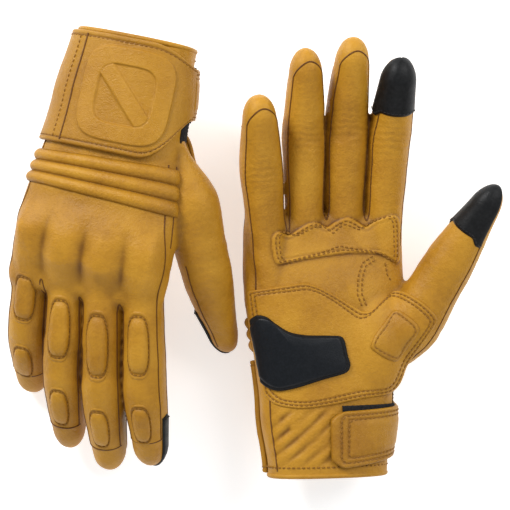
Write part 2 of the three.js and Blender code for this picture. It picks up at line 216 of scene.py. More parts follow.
class Digit:
    """A finger or a thumb as a tube along a bent path. surface(angle, s) gives its points:
    superellipse sections across the path, whose size shrinks as a quarter circle at the tip.
    sizes is a list of (place, half width) that the section follows smoothly."""

    def __init__(self, base, start, reach, sizes, bends, flatness=1.05):
        self.base, self.start, self.reach, self.flatness = base, start, reach, flatness
        self.line = np.linspace(start, reach, 500)
        self.y, self.z, self.lean = bent_path(self.line, bends)
        fix = np.interp(0, self.line, self.z)
        self.z = self.z - fix
        self.y = self.y - np.interp(0, self.line, self.y)
        self.sizes = np.full_like(self.line, sizes[0][1])
        for (a, low), (b, high) in zip(sizes, sizes[1:]):
            self.sizes += (high - low) * ease(self.line, a, b)

    def half(self, s):
        around_tip = np.clip((s - (self.reach - TIP_ROUNDING)) / TIP_ROUNDING, 0, 1)
        return np.interp(s, self.line, self.sizes) * np.sqrt(np.maximum(1 - around_tip ** 2, 0))

    def surface(self, degrees, s, height=0.0):
        angle, s = np.broadcast_arrays(np.radians(degrees), np.asarray(s, float))
        y, z, lean = (np.interp(s, self.line, k) for k in (self.y, self.z, self.lean))
        beyond = height * np.clip((s - (self.reach - TIP_ROUNDING)) / TIP_ROUNDING, 0, 1) ** 2
        y, z = y + beyond * np.cos(lean), z - beyond * np.sin(lean)
        half = self.half(s) * (1 + height / np.interp(s, self.line, self.sizes))
        x = half * signed_power(np.cos(angle), 0.92)
        up = half * self.flatness * signed_power(np.sin(angle), 0.92)
        local = np.stack([x, y + up * np.sin(lean), z + up * np.cos(lean)], -1)
        return carried(self.base, local)


def make_digits(glove):
    """The five digits of a glove, by name."""
    digits = {}
    for name, finger in FINGERS.items():
        straight, _, _ = finger_frames(glove, name)
        bends = [(0, glove["knuckle"][name], 12), (finger["near"], glove["middle"][name], 13)]
        reach, half = finger["near"] + finger["far"], finger["half"]
        sizes = [(0, half), (finger["near"], half + 1.35), (reach, half - 1.9)]
        digits[name] = Digit(straight, -30, reach, sizes, bends, flatness=1.12)
    root, _, _ = thumb_frames(glove)
    thumb = glove["thumb"]
    digits["thumb"] = Digit(root, -24, THUMB_BASE + THUMB_OUTER,
                            [(-24, 5.0), (14, 16.8), (50, 14.8), (THUMB_BASE + THUMB_OUTER, 7.8)],
                            [(THUMB_BASE, thumb["bend"], 12), (THUMB_BASE + 34, 9, 10)], flatness=1.0)
    return digits


# ---- Meshes --------------------------------------------------------------------------------
def grid_faces(rows, columns, closed):
    """Quads of a grid of rows by columns points; a closed one joins its last column to its first."""
    r = np.arange(rows - 1)[:, None]
    c = np.arange(columns if closed else columns - 1)[None, :]
    after = (c + 1) % columns
    corners = [r * columns + c, r * columns + after, (r + 1) * columns + after, (r + 1) * columns + c]
    return np.stack([k.ravel() for k in np.broadcast_arrays(*corners)], -1)


def volume(points, quads):
    """Signed volume inside the quads, from tetrahedra to the origin."""
    a, b, c, d = (points[quads[:, k]] for k in range(4))
    return (np.einsum("ij,ij->", a, np.cross(b, c)) + np.einsum("ij,ij->", a, np.cross(c, d))) / 6


def closed_tube(points):
    """A tube from a rows by columns array of rings, with a middle point closing each end."""
    rows, columns, _ = points.shape
    quads = grid_faces(rows, columns, True)
    flat = points.reshape(-1, 3)
    ends = np.stack([points[0].mean(0), points[-1].mean(0)])
    c = np.arange(columns)
    after = (c + 1) % columns
    first = np.stack([np.full(columns, rows * columns), after, c, c], -1)
    base = (rows - 1) * columns
    last = np.stack([np.full(columns, rows * columns + 1), base + c, base + after, base + after], -1)
    return outwards(np.concatenate([flat, ends]), np.concatenate([quads, first, last]))


def slab(top, bottom):
    """A closed sheet between two grids of points of the same shape, joined round their border."""
    rows, columns, _ = top.shape
    count = rows * columns
    upper = grid_faces(rows, columns, False)
    index = np.arange(count).reshape(rows, columns)
    rim = np.concatenate([index[0, :], index[1:, -1], index[-1, -2::-1], index[-2:0:-1, 0]])
    after = np.roll(rim, -1)
    side = np.stack([after, rim, rim + count, after + count], -1)
    points = np.concatenate([top.reshape(-1, 3), bottom.reshape(-1, 3)])
    return outwards(points, np.concatenate([upper, upper[:, ::-1] + count, side]))


def outwards(points, quads):
    return (points, quads) if volume(points, quads) > 0 else (points, quads[:, ::-1])


def pipe(path, radius, around=8, flat=1.0, normals=None):
    """A round tube carried along a path: rings of that radius across its direction, closed by
    a middle point at each end. Where normals are given, it is squashed along them by flat."""
    ahead = unit(np.gradient(path, axis=0))
    up = np.tile([0.1, 0.2, 1.0], (len(path), 1)) if normals is None else normals
    side = unit(np.cross(ahead, up))
    up = np.cross(side, ahead)
    turn = np.linspace(0, 2 * np.pi, around, endpoint=False)
    radius = np.broadcast_to(radius, len(path))[:, None, None]
    ring = np.cos(turn)[None, :, None] * side[:, None] + flat * np.sin(turn)[None, :, None] * up[:, None]
    return closed_tube(path[:, None] + radius * ring)


def along(path, spacing, *others):
    """The path at even spacing, with any other arrays that go along it."""
    steps = np.linalg.norm(np.diff(path, axis=0), axis=1)
    distance = np.concatenate([[0], np.cumsum(steps)])
    places = np.arange(spacing / 2, distance[-1], spacing)
    pick = [np.stack([np.interp(places, distance, k[:, i]) for i in range(3)], -1) for k in (path, *others)]
    return pick


def stitches(path, normals, spacing=2.9, length=2.1, width=0.42):
    """A row of short threads along a path on a surface: each is a six-sided spindle, five rings
    long, whose rings follow sin and whose middle stands proud of the surface."""
    at, up = along(path, spacing, normals)
    if len(at) < 2:
        return None
    ahead = unit(np.gradient(at, axis=0))
    up = unit(up - ahead * np.sum(ahead * up, -1, keepdims=True))
    side = np.cross(ahead, up)
    lift = np.array([-0.9, -0.1, 0.35, -0.1, -0.9]) * width
    size = np.array([0.45, 0.95, 1.0, 0.95, 0.45]) * width
    reach = np.array([-0.5, -0.36, 0, 0.36, 0.5]) * length
    turn = np.linspace(0, 2 * np.pi, 6, endpoint=False)
    rings = (reach[None, :, None, None] * ahead[:, None, None]
             + (lift[None, :, None, None] + (size[:, None] * np.sin(turn))[None, :, :, None]) * up[:, None, None]
             + (size[:, None] * np.cos(turn))[None, :, :, None] * side[:, None, None])
    points = (at[:, None, None] + rings).reshape(len(at), -1, 3)
    quads = grid_faces(5, 6, True)
    if volume(points[0] - at[0], quads) < 0:
        quads = quads[:, ::-1]
    faces = quads[None] + (np.arange(len(at)) * points.shape[1])[:, None, None]
    return points.reshape(-1, 3), faces.reshape(-1, 4)


def joined(parts):
    """One set of points, quads, material numbers and shades from parts of (mesh, number, shade)."""
    points, quads, numbers, shades, start = [], [], [], [], 0
    for mesh, number, shade in parts:
        if mesh is None:
            continue
        points.append(mesh[0])
        quads.append(mesh[1] + start)
        numbers.append(np.full(len(mesh[1]), number))
        shades.append(np.broadcast_to(np.asarray(shade, float), len(mesh[0])))
        start += len(mesh[0])
    return [np.concatenate(k) for k in (points, quads, numbers, shades)]


def make_piece(name, glove, parts, materials, normals=None):
    """An object from parts in the glove's frame. A quad that repeats its last corner is a
    triangle. Each point keeps its shade, painted light: from 0, painted shade in a crease, to 1, a painted highlight on
    a ridge."""
    points, quads, numbers, shades = joined(parts)
    world = carried(glove["frame"], points) / 1000
    triangle = quads[:, 2] == quads[:, 3]
    triangle |= quads[:, 0] == quads[:, 3]
    sizes = np.where(triangle, 3, 4)
    keep = np.ones(quads.shape, bool)
    keep[triangle, 3] = False
    swapped = triangle & (quads[:, 0] == quads[:, 1])
    keep[swapped] = [False, True, True, True]
    mesh = bpy.data.meshes.new(name)
    mesh.vertices.add(len(world))
    mesh.vertices.foreach_set("co", world.astype(np.float32).ravel())
    mesh.loops.add(int(sizes.sum()))
    mesh.loops.foreach_set("vertex_index", quads[keep].astype(np.int32))
    mesh.polygons.add(len(quads))
    mesh.polygons.foreach_set("loop_start", np.concatenate([[0], np.cumsum(sizes)[:-1]]).astype(np.int32))
    for material in materials:
        mesh.materials.append(material)
    mesh.update(calc_edges=True)
    mesh.polygons.foreach_set("material_index", numbers.astype(np.int32))
    mesh.polygons.foreach_set("use_smooth", np.ones(len(quads), bool))
    mesh.attributes.new("shade", "FLOAT", "POINT").data.foreach_set("value", shades.astype(np.float32))
    mesh.validate()
    if normals is not None:
        turned = unit(normals @ glove["frame"][:3, :3].T)
        filled = np.concatenate([turned, np.zeros((len(world) - len(turned), 3))])
        mesh.normals_split_custom_set_from_vertices(filled.tolist())
    piece = bpy.data.objects.new(name, mesh)
    bpy.context.collection.objects.link(piece)
    return piece


# ---- Materials -------------------------------------------------------------------------------
class Recipe:
    """A material's node tree with short calls to add nodes and links."""

    def __init__(self, name):
        self.material = bpy.data.materials.new(name)
        self.material.use_nodes = True
        self.nodes, self.links = self.material.node_tree.nodes, self.material.node_tree.links
        self.shader = self.nodes["Principled BSDF"]
        self.place = self.add("ShaderNodeTexCoord").outputs["Object"]

    def add(self, kind, **settings):
        node = self.nodes.new(kind)
        for key, value in settings.items():
            if hasattr(node, key):
                setattr(node, key, value)
            else:
                node.inputs[key].default_value = value
        return node

    def link(self, a, b):
        self.links.new(a, b)

    def noise(self, scale, detail=3.0, rough=0.55):
        node = self.add("ShaderNodeTexNoise", Scale=scale, Detail=detail, Roughness=rough)
        self.link(self.place, node.inputs["Vector"])
        return node.outputs["Fac"]

    def cells(self, scale, feature="F1"):
        node = self.add("ShaderNodeTexVoronoi", feature=feature, Scale=scale)
        self.link(self.place, node.inputs["Vector"])
        return node.outputs["Distance"]

    def ramp(self, value, *stops):
        node = self.add("ShaderNodeValToRGB")
        while len(node.color_ramp.elements) < len(stops):
            node.color_ramp.elements.new(0.5)
        for element, (at, color) in zip(node.color_ramp.elements, stops):
            element.position = at
            element.color = (*color, 1) if len(color) == 3 else color
        self.link(value, node.inputs["Fac"])
        return node.outputs["Color"]

    def math(self, kind, a, b):
        node = self.add("ShaderNodeMath", operation=kind)
        for socket, value in zip(node.inputs, (a, b)):
            if isinstance(value, (int, float)):
                socket.default_value = value
            else:
                self.link(value, socket)
        return node.outputs["Value"]

    def blend(self, amount, a, b, kind="MIX"):
        node = self.add("ShaderNodeMix", data_type="RGBA", blend_type=kind)
        for socket, value in zip((node.inputs[0], node.inputs[6], node.inputs[7]), (amount, a, b)):
            if isinstance(value, (int, float)):
                socket.default_value = value
            elif isinstance(value, tuple):
                socket.default_value = (*value, 1)
            else:
                self.link(value, socket)
        return node.outputs[2]

    def bump(self, height, distance, strength, under=None):
        node = self.add("ShaderNodeBump", Distance=distance, Strength=strength)
        self.link(height, node.inputs["Height"])
        if under is not None:
            self.link(under, node.inputs["Normal"])
        return node.outputs["Normal"]


def make_leather(name, dark, middle, light, rough, grain):
    """Grained leather: three tones by a wide and a fine noise, with painted shade in creases and a
    painted highlight on ridges from the shade attribute, with fine cells and soft creases in its bump."""
    r = Recipe(name)
    wide, fine = r.noise(28, 4), r.noise(420, 3, 0.6)
    tone = r.math("ADD", r.math("MULTIPLY", wide, 0.75), r.math("MULTIPLY", fine, 0.25))
    base = r.ramp(tone, (0.3, dark), (0.5, middle), (0.72, light))
    shade = r.add("ShaderNodeAttribute", attribute_name="shade").outputs["Fac"]
    # painted shade and painted highlight multiplied into the base colour: dark where the shade attribute is low
    # (creases), brighter where it is high (ridges)
    painted_shade_and_highlight = r.ramp(shade, (0.0, (0.24, 0.16, 0.12)), (0.42, (0.86, 0.84, 0.8)), (0.56, (1, 1, 1)),
                  (1.0, (1.22, 1.22, 1.25)))
    r.link(r.blend(1.0, base, painted_shade_and_highlight, "MULTIPLY"), r.shader.inputs["Base Color"])
    gloss = r.ramp(r.noise(60, 3), (0.3, (rough - 0.07,) * 3), (0.7, (rough + 0.08,) * 3))
    r.link(gloss, r.shader.inputs["Roughness"])
    creases = r.bump(r.noise(260, 6, 0.72), 0.0010, 0.5)
    pores = r.bump(r.cells(grain), 0.0003, 0.5, creases)
    r.link(pores, r.shader.inputs["Normal"])
    r.shader.inputs["Specular IOR Level"].default_value = 0.3
    return r.material


def make_plain(name, tones, rough, scale, depth, level=0.5):
    """A dark finish: two tones by a fine noise, with that noise and small cells as its bump."""
    r = Recipe(name)
    r.link(r.ramp(r.noise(scale, 4), (0.35, tones[0]), (0.7, tones[1])), r.shader.inputs["Base Color"])
    r.link(r.ramp(r.noise(scale / 3, 2), (0.3, (rough - 0.06,) * 3), (0.7, (rough + 0.06,) * 3)),
           r.shader.inputs["Roughness"])
    r.link(r.bump(r.cells(scale * 2.2), depth, 0.4), r.shader.inputs["Normal"])
    r.shader.inputs["Specular IOR Level"].default_value = level
    return r.material


TAN = make_leather("tan_leather_grain", (0.33, 0.145, 0.009), (0.445, 0.212, 0.013), (0.53, 0.27, 0.022), 0.47, 900)
SMOOTH_TAN = make_leather("smooth_tan_leather", (0.31, 0.133, 0.008), (0.40, 0.188, 0.012), (0.48, 0.24, 0.02), 0.42, 1300)
BLACK = make_plain("black_touch_leather", ((0.003, 0.0035, 0.004), (0.009, 0.0095, 0.0105)), 0.5, 500, 0.0002, 0.22)
SLIDER = make_plain("slider_coating", ((0.003, 0.0045, 0.0065), (0.006, 0.008, 0.0115)), 0.4, 800, 0.0001, 0.25)
LINING = make_plain("lining_fabric", ((0.006, 0.006, 0.007), (0.02, 0.02, 0.022)), 0.85, 900, 0.0003, 0.2)
THREAD = make_plain("tan_thread", ((0.2, 0.085, 0.008), (0.32, 0.145, 0.014)), 0.6, 1500, 0.0001, 0.3)
DARK_THREAD = make_plain("dark_thread", ((0.008, 0.008, 0.009), (0.02, 0.02, 0.022)), 0.6, 1500, 0.0001, 0.3)
MATERIALS = [TAN, SMOOTH_TAN, BLACK, SLIDER, LINING, THREAD, DARK_THREAD]
TAN_N, SMOOTH_N, BLACK_N, SLIDER_N, LINING_N, THREAD_N, DARK_N = range(7)


# ---- The skin: one leather surface, then cut where the joints need it -----------------------------
def skin_of(glove, digits):
    """The glove's outer leather as one mesh. The hand's sections and the digits' tubes are
    closed surfaces; a voxel remesh joins them, and averaging softens where they meet."""
    turn = np.linspace(0, 360, 96, endpoint=False)
    y = np.concatenate([np.linspace(-CUFF_LENGTH - 3, 100, 90), 100 + 13 * np.sin(np.linspace(0.1, 1.5, 10))])
    end = np.sqrt(np.maximum(1 - ((y - 100) / 13.2).clip(0) ** 2, 0.02))
    rings = hand_point(turn[None, :], y[:, None], 0)
    rings[..., 0] *= mix(0.94, 1, end)[:, None]
    rings[..., 2] *= mix(0.2, 1, end)[:, None]
    parts = [closed_tube(rings)]
    for digit in digits.values():
        s = np.concatenate([np.linspace(digit.start, digit.reach - TIP_ROUNDING, 50),
                            digit.reach - TIP_ROUNDING + TIP_ROUNDING * np.sin(np.linspace(0.1, 1.54, 12))])
        parts.append(closed_tube(digit.surface(turn[None, ::2], s[:, None])))
    ball = np.linspace(0.02, np.pi - 0.02, 24)[:, None]
    round_ = np.radians(turn[None, ::2])
    centre, size = np.array([-27.0, 38.0, -9.0]), np.array([19.0, 33.0, 13.0])
    thenar = np.stack(np.broadcast_arrays(np.sin(ball) * np.cos(round_), -np.cos(ball), np.sin(ball) * np.sin(round_)), -1)
    parts.append(closed_tube(centre + size * thenar))
    points, quads, _, _ = joined([(part, 0, 0) for part in parts])
    mesh = bpy.data.meshes.new("rough")
    triangle = quads[:, 2] == quads[:, 3]
    mesh.from_pydata(points.tolist(), [], [q[:3] if t else q for q, t in zip(quads.tolist(), triangle.tolist())])
    rough = bpy.data.objects.new("rough", mesh)
    bpy.context.collection.objects.link(rough)
    remesh = rough.modifiers.new("join", "REMESH")
    remesh.mode, remesh.voxel_size, remesh.adaptivity = "VOXEL", VOXEL, 0
    done = rough.evaluated_get(bpy.context.evaluated_depsgraph_get()).to_mesh()
    points = np.empty(len(done.vertices) * 3, np.float32)
    done.vertices.foreach_get("co", points)
    corners = np.empty(len(done.loops), np.int32)
    done.loops.foreach_get("vertex_index", corners)
    edges = np.empty(len(done.edges) * 2, np.int32)
    done.edges.foreach_get("vertices", edges)
    points, quads, edges = points.reshape(-1, 3).astype(float), corners.reshape(-1, 4), edges.reshape(-1, 2)
    bpy.data.objects.remove(rough)
    return points, quads, edges


def averaged(values, edges, count):
    """Each point's mean over its neighbours."""
    total = np.zeros_like(values)
    for axis in range(values.shape[1]):
        total[:, axis] = (np.bincount(edges[:, 0], values[edges[:, 1], axis], count)
                          + np.bincount(edges[:, 1], values[edges[:, 0], axis], count))
    degree = np.bincount(edges.ravel(), minlength=count)
    return total / np.maximum(degree, 1)[:, None]


def soften(points, edges, rounds, amount):
    """Moves each point towards its neighbours' mean by amount, for that many rounds."""
    for _ in range(rounds):
        points = points + amount * (averaged(points, edges, len(points)) - points)
    return points


def point_normals(points, quads):
    """Normals of the points: the sum of their faces' normals."""
    a, b, c, d = (points[quads[:, k]] for k in range(4))
    face = np.cross(c - a, d - b)
    total = np.zeros_like(points)
    for axis in range(3):
        for k in range(4):
            total[:, axis] += np.bincount(quads[:, k], face[:, axis], len(points))
    return unit(total)


def lobes(points):
    """Height of the knuckle guard under the back leather: a broad dome, flat at its lower
    side, with a lobe over each knuckle that is a bell across and a softer bell along."""
    x, y, z = points.T
    bell, peak = np.zeros_like(x), np.zeros_like(x)
    for finger in FINGERS.values():
        along_y = (y - (HAND_LENGTH - finger["back"] * 0.8 - 18)) / 15.0
        across = np.exp(-np.abs((x - finger["x"] * 1.03) / 10.0) ** 2.6)
        bell, peak = np.maximum(bell, across), np.maximum(peak, across * np.exp(-along_y ** 2))
    plate = ease(y, 56, 78) * (1 - ease(y - 7 * bell, 86, 104)) * ease(x, -50, -36) * (1 - ease(x, 36, 49))
    height = plate * (0.48 + 0.52 * peak)
    return GUARD_RISE * height * ease(z, 1, 8)


def inside_distance(place, corners):
    """Distance from places in the plane to a closed curve, positive inside it. Inside is an odd
    count of the curve's edges crossed on the way to +X."""
    a, b = corners, np.roll(corners, -1, 0)
    along_edge = b - a
    t = np.einsum("pkj,kj->pk", place[:, None] - a, along_edge) / np.sum(along_edge ** 2, -1)
    nearest = a + np.clip(t, 0, 1)[..., None] * along_edge
    gap = np.linalg.norm(place[:, None] - nearest, axis=-1).min(1)
    straddles = (a[:, 1] > place[:, 1:]) != (b[:, 1] > place[:, 1:])
    slope = np.where(along_edge[:, 1] == 0, 1e-9, along_edge[:, 1])
    crossing = a[:, 0] + (place[:, 1:] - a[:, 1]) * along_edge[:, 0] / slope
    odd = np.sum(straddles & (crossing > place[:, :1]), -1) % 2
    return np.where(odd == 1, gap, -gap)


def grip_relief(points):
    """How deep each skin point lies inside the grip overlay's outline, -9 away from it."""
    edge = outline(GRIP_OUTLINE)
    low, high = edge.min(0) - 2, edge.max(0) + 2
    near = np.all((points[:, :2] > low) & (points[:, :2] < high), -1) & (points[:, 2] < 0)
    depth = np.full(len(points), -9.0)
    depth[near] = inside_distance(points[near, :2], edge)
    return depth


def dress(glove, points, quads, edges):
    """Shapes the skin: softens it, lifts the guard, and adds folds where leather gathers. The
    shade is painted: painted shade where the surface is hollow and a painted highlight where it stands out."""
    points = soften(points, edges, 9, 0.5)
    x, y, z = points.T
    root = ease(y, 88, 100) * (1 - ease(y, 122, 134))
    thumb_root = np.exp(-(((x + 46) / 13) ** 2 + ((y - 62) / 20) ** 2 + ((z + 10) / 16) ** 2))
    extra = np.clip(root * 0.7 + thumb_root * 1.2, 0, 1)[:, None]
    points = soften(points, edges, 36, 0.5 * extra)
    normals = point_normals(points, quads)
    x, y, z = points.T
    push = lobes(points)
    push += 0.55 * ramble(points, glove["seed"], 46) + 0.22 * ramble(points, glove["seed"] + 1, 17)
    gathered = ease(y, -35, -27) * (1 - ease(y, -6, 3)) * ease(-z, 5, 12) * ease(x, -8, 6) * (1 - ease(x, 30, 38))
    across = 0.62 * x + 0.79 * y + 6.0 * ramble(points * [1, 1, 0.3], glove["seed"] + 2, 48)
    fold = 1 - np.abs(np.sin(np.pi * across / 7.5)) ** 0.75
    small = 1 - np.abs(np.sin(np.pi * (across * 1.1 + 1.6 * ramble(points, glove["seed"] + 3, 12)) / 3.1)) ** 0.8
    depth = 0.65 + 0.9 * ramble(points, glove["seed"] + 7, 20)
    push += gathered * (0.5 - 1.5 * depth * fold - 0.6 * small * (1.2 - depth))
    for name in FINGERS:
        straight, knuckle, _ = finger_frames(glove, name)
        local = carried(np.linalg.inv(knuckle), points)
        here = (np.abs(local[:, 0]) < 12) * ease(local[:, 1], 4, 18) * (1 - ease(local[:, 1], 80, 96))
        inner = ease(-local[:, 2], -2, 6)
        at_bend = np.exp(-((local[:, 1] - FINGERS[name]["near"]) / 9.0) ** 2)
        waves = np.sin(local[:, 1] * 1.7 + 3.2 * ramble(points, glove["seed"] + 4, 16)
                       + 1.6 * ramble(points, glove["seed"] + 6, 6))
        push += here * inner * (0.03 + 0.11 * at_bend) * waves
    thumb = carried(np.linalg.inv(thumb_frames(glove)[1]), points)
    here = (np.linalg.norm(thumb[:, [0, 2]], axis=1) < 19) * (1 - ease(np.abs(thumb[:, 1] - 4), 22, 40))
    push += here * 0.05 * np.sin(thumb[:, 1] * 1.3 + 3.4 * ramble(points, glove["seed"] + 5, 15))
    points = points + normals * push[:, None]
    points = soften(points, edges, 2, 0.4)
    depth = grip_relief(points)
    sewn = np.exp(-((depth - 2.3) / 0.7) ** 2)
    points = points + point_normals(points, quads) * (1.1 * ease(depth, -0.4, 0.9) - 0.25 * sewn)[:, None]
    normals = point_normals(points, quads)
    smooth = soften(points, edges, 22, 0.5)
    proud = np.sum((points - smooth) * normals, -1)
    near_one = soften(np.stack([proud] * 3, -1), edges, 3, 0.5)[:, 0]
    # painted shade in hollows, in the stitch groove and just outside the grip's edge; a painted highlight where the
    # skin stands out
    shade = np.clip(0.5 + 0.95 * near_one - 0.2 * sewn - 0.3 * np.exp(-((depth + 0.2) / 0.5) ** 2), 0.03, 1)
    return points, normals, shade


def part_of_skin(glove, points):
    """Which piece of the skin each place belongs to: hand, or a digit's root or outer part."""
    owner = np.full(len(points), "hand", dtype="<U14")
    best = np.full(len(points), 1e9)
    for name, finger in FINGERS.items():
        straight, knuckle, _ = finger_frames(glove, name)
        flat = carried(np.linalg.inv(straight), points)
        bent = carried(np.linalg.inv(knuckle), points)
        aside = np.abs(flat[:, 0]) / finger["half"]
        closer = aside < best
        best = np.where(closer, aside, best)
        mine = np.where(flat[:, 1] > -CUT_BEFORE_HINGE, name + "_root", "hand")
        mine = np.where(bent[:, 1] > finger["near"] / 2, name + "_outer", mine)
        owner = np.where(closer, mine, owner)
    thumb = carried(np.linalg.inv(thumb_frames(glove)[1]), points)
    off = np.linalg.norm(thumb[:, [0, 2]], axis=1)
    on_thumb = (thumb[:, 1] > -CUT_BEFORE_HINGE) & (off < 21) & (points[:, 0] < -36)
    on_thumb &= ~((points[:, 1] > 84) & (points[:, 0] > -50) & (off > 13))
    return np.where(on_thumb, "thumb_outer", owner)


def cut_skin(points, quads, normals, shade, owner, key):
    """The faces of one owner, with their own points."""
    mine = quads[owner == key]
    used, index = np.unique(mine, return_inverse=True)
    return points[used], index.reshape(-1, 4), normals[used], shade[used]


# ---- Sewn details ------------------------------------------------------------------------------
def grid_normals(points):
    """Normals of a grid of points: the cross product of its two directions."""
    return unit(np.cross(np.gradient(points, axis=1), np.gradient(points, axis=0)))


def rim_fall(u, v, width_u, width_v):
    """1 inside a sheet, falling to 0 at its rim as a quarter circle within the given widths."""
    a = np.clip(np.minimum(u, 1 - u) / width_u, 0, 1)
    b = np.clip(np.minimum(v, 1 - v) / width_v, 0, 1)
    return np.sqrt(1 - (1 - a) ** 2) * np.sqrt(1 - (1 - b) ** 2)


def lay(places, points, normals, height=0.0):
    """Places laid on the skin: each one drops to the plane of the nearest skin point, then
    stands off by height. The second array is the skin's normals there."""
    flat = places.reshape(-1, 3)
    near = np.all((points > flat.min(0) - 7) & (points < flat.max(0) + 7), -1)
    p, n = points[near], normals[near]
    index = (np.sum(p ** 2, -1)[None] - 2 * flat @ p.T).argmin(1)
    up = n[index]
    gap = np.sum((flat - p[index]) * up, -1, keepdims=True)
    return (flat + (height - gap) * up).reshape(places.shape), up.reshape(places.shape)


def cling(path, points, normals, height=0.0):
    """A path laid on the skin and made smooth."""
    laid, _ = lay(path, points, normals, height)
    for _ in range(3):
        laid[1:-1] = (laid[:-2] + 2 * laid[1:-1] + laid[2:]) / 4
    return laid


def owned(glove, mesh, key):
    """The threads of a stitch row that lie on one piece of the skin."""
    threads = mesh[0].reshape(-1, 30, 3)
    mine = part_of_skin(glove, threads.mean(1)) == key
    if not mine.any():
        return None
    faces = mesh[1].reshape(len(threads), -1, 4)[0]
    start = np.arange(mine.sum())[:, None, None] * 30
    return threads[mine].reshape(-1, 3), (faces[None] + start).reshape(-1, 4)


def seam(path, radius=0.5):
    """A seam line: a thin pipe along a path on the leather, given shade 0.03, a painted shade that stands for the
    shadow in the seam's groove.
    """
    return pipe(path, radius, 6), TAN_N, 0.03


def digit_seam(digit, degrees, start, end):
    """A seam along a digit at one angle."""
    s = np.linspace(start, end, int((end - start) / 1.5) + 2)
    return seam(digit.surface(degrees + 0 * s, s, -0.02))


def tip_seam(digit, s_at, first, last):
    """A seam across a digit: a pipe round part of one section."""
    angle = np.linspace(first, last, 30)
    return seam(digit.surface(angle, s_at + 0 * angle, 0.0), 0.45)


def crotch_loops(digits, name):
    """Half loops between this finger and its neighbours, on the back and on the palm side: a
    quadratic curve from the finger's side seam to the middle of the gap's root."""
    order = list(FINGERS)
    place = order.index(name)
    paths = []
    for step, degrees in ((-1, (150, 200)), (1, (30, 328))):
        if not 0 <= place + step < len(order):
            continue
        other = digits[order[place + step]]
        for near, far in zip(degrees, (30, 328) if step < 0 else (150, 200)):
            first, last = digits[name].surface(near, 11.0), other.surface(far, 11.0)
            bottom = (digits[name].surface(near, 3.5) + other.surface(far, 3.5)) / 2
            low = digits[name].surface(near, 5.0)
            t = np.linspace(0, 1, 14)[:, None]
            paths.append((1 - t) ** 2 * first + 2 * t * (1 - t) * low + t ** 2 * bottom)
    return paths


def oval_pad(digit, skin, middle_s, half_length, half_degrees, height):
    """A padded oval on the back of a digit. Rings run from the crown to the rim: a crown that
    follows 1 - r^3.4, a stitched groove near r = 0.8, and a low edge that sinks into the skin."""
    r = np.concatenate([np.linspace(0.02, 0.7, 16), np.linspace(0.72, 1.0, 22)])[:, None]
    turn = np.linspace(0, 2 * np.pi, 72, endpoint=False)[None, :]
    across = signed_power(np.cos(turn), 0.62)
    length = signed_power(np.sin(turn), 0.74)
    degrees = 90 + half_degrees * r * across
    s = middle_s + half_length * r * length
    crown = height * (1 - (np.minimum(r, 0.76) / 0.76) ** 3.4) ** 0.6
    groove = np.exp(-((r - 0.82) / 0.04) ** 2)
    rise = 0.1 + crown + 0.32 * np.exp(-((r - 0.9) / 0.04) ** 2) - 0.12 * groove - 0.7 * ease(r, 0.92, 1.0)
    base, up = lay(digit.surface(degrees, s), *skin)
    points = base + up * (rise + 0 * turn)[..., None]
    deep = digit.surface(90 + 0.5 * half_degrees * across[0], middle_s + 0.5 * half_length * length[0], -2.0)
    rings = np.concatenate([points, deep[None]])
    # painted light: a painted highlight on the crown, painted shade in the stitched groove and on the underside rings
    shade = np.concatenate([(0.5 + 0.12 * crown / height - 0.34 * groove + 0 * turn).ravel(), np.full(72, 0.3), [0.6, 0.3]])
    path = digit.surface(90 + half_degrees * 0.82 * across[0], middle_s + half_length * 0.82 * length[0])
    path, normals = lay(path, skin[0], skin[1], 0.18)
    path, normals = np.concatenate([path, path[:1]]), np.concatenate([normals, normals[:1]])
    return closed_tube(rings), shade, stitches(path, normals, 2.6, 1.8, 0.34)


def touch_cap(digit, length, first, last):
    """The conductive patch over the palm side of a fingertip: a shell between two angles that
    starts as a shallow curve and closes over the tip."""
    v = np.linspace(0, 1, 40)[:, None]
    u = np.linspace(0, 1, 44)[None, :]
    degrees = mix(first, last, u)
    start = digit.reach - length - 4.0 * ease(np.abs(2 * u - 1), 0.5, 0.8)
    s = mix(start, digit.reach - 0.01, np.sin(v * np.pi / 2))
    fall = rim_fall(u, v * 0.5, 0.03, 0.03)
    top = digit.surface(degrees, s, 0.25 + 0.75 * fall)
    bottom = digit.surface(degrees, s, -1.2)
    row = digit.surface(degrees[0], start[0] + 1.9, 1.05)
    normals = unit(row - digit.surface(degrees[0], start[0] + 1.9, 0))
    return slab(top, bottom), stitches(row, normals, 2.3, 1.6, 0.3)


def outline(corners, count=160):
    """A smooth closed curve through points in the plane: a periodic cubic between neighbours,
    with slopes from the points on each side."""
    p = np.array(corners, float)
    t = np.linspace(0, len(p), count, endpoint=False)
    i, f = t.astype(int), (t % 1)[:, None]
    a, b, c, d = (p[(i + k) % len(p)] for k in (-1, 0, 1, 2))
    m0, m1 = 0.42 * (c - a), 0.42 * (d - b)
    return ((2 * f ** 3 - 3 * f ** 2 + 1) * b + (f ** 3 - 2 * f ** 2 + f) * m0
            + (3 * f ** 2 - 2 * f ** 3) * c + (f ** 3 - f ** 2) * m1)


